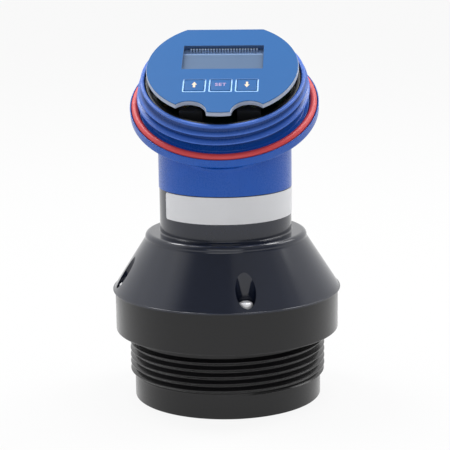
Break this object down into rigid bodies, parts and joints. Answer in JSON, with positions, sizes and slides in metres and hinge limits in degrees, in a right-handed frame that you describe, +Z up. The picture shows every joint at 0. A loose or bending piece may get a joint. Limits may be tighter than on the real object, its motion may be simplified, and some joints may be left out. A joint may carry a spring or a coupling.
{
  "type": "ultrasonic level transmitter",
  "caption": "Round tank-top ultrasonic level transmitter: threaded sensor base, cone, neck and a tilted open head with a display and a row of keys.",
  "frame": {"origin": "middle of the sonic face, the lowest face of the transmitter", "axes": "+Z up along the process thread and the neck, the display faces -Y, +X to the right of the keys"},
  "size_m": [0.103, 0.103, 0.1641],
  "materials": {
    "black_base": "satin moulded",
    "matching_resin": "cast",
    "piezo_ceramic": "fired",
    "isolation_rubber": "soft",
    "potting_resin": "cast",
    "lead_jacket": "soft",
    "black_seal": "soft",
    "black_cone": "polished moulded",
    "stainless_steel": "turned",
    "white_label": "smooth film",
    "blue_shell": "moulded",
    "red_seal": "soft",
    "cup_black": "moulded",
    "board_green": "solder resist",
    "connector_white": "moulded",
    "component_black": "moulded",
    "terminal_black": "moulded",
    "terminal_brass": "plated",
    "pillar_brass": "turned",
    "display_glass": "polished",
    "contact_metal": "tinned",
    "plate_pale": "moulded",
    "film_blue": "printed film",
    "key_blue": "printed film"
  },
  "bodies": {
    "transmitter": {"threaded_base": "black_base", "matching_layer": "matching_resin", "piezo_disc": "piezo_ceramic", "isolation_sleeve": "isolation_rubber", "potting_fill": "potting_resin", "transducer_lead": "lead_jacket", "base_seal_ring": "black_seal", "cone_body": "black_cone", "cone_screws": "stainless_steel", "name_label": "white_label", "head_housing": "blue_shell", "neck_seal_ring": "black_seal", "cover_seal_ring": "red_seal", "display_cup": "cup_black", "cup_screws": "stainless_steel", "main_board": "board_green", "lead_connector": "connector_white", "drive_transformer": "component_black", "drive_capacitors": "component_black", "control_chip": "component_black", "terminal_blocks": "terminal_black", "terminal_screws": "terminal_brass", "board_pillars": "pillar_brass", "display_board": "board_green", "key_switches": "component_black", "lcd_holder": "component_black", "lcd_panel": "display_glass", "lcd_contacts": "contact_metal", "face_plate": "plate_pale", "face_film": "film_blue"},
    "key_up_body": {"key_up": "key_blue"},
    "key_set_body": {"key_set": "key_blue"},
    "key_down_body": {"key_down": "key_blue"}
  },
  "joints": [
    {"name": "key_up_press", "type": "slide", "parent": "transmitter", "child": "key_up_body", "axis": [0, -0.4879, 0.8729], "range_m": [-0.0005, 0], "stiffness_N_per_m": 4000},
    {"name": "key_set_press", "type": "slide", "parent": "transmitter", "child": "key_set_body", "axis": [0, -0.4879, 0.8729], "range_m": [-0.0005, 0], "stiffness_N_per_m": 4000},
    {"name": "key_down_press", "type": "slide", "parent": "transmitter", "child": "key_down_body", "axis": [0, -0.4879, 0.8729], "range_m": [-0.0005, 0], "stiffness_N_per_m": 4000}
  ]
}
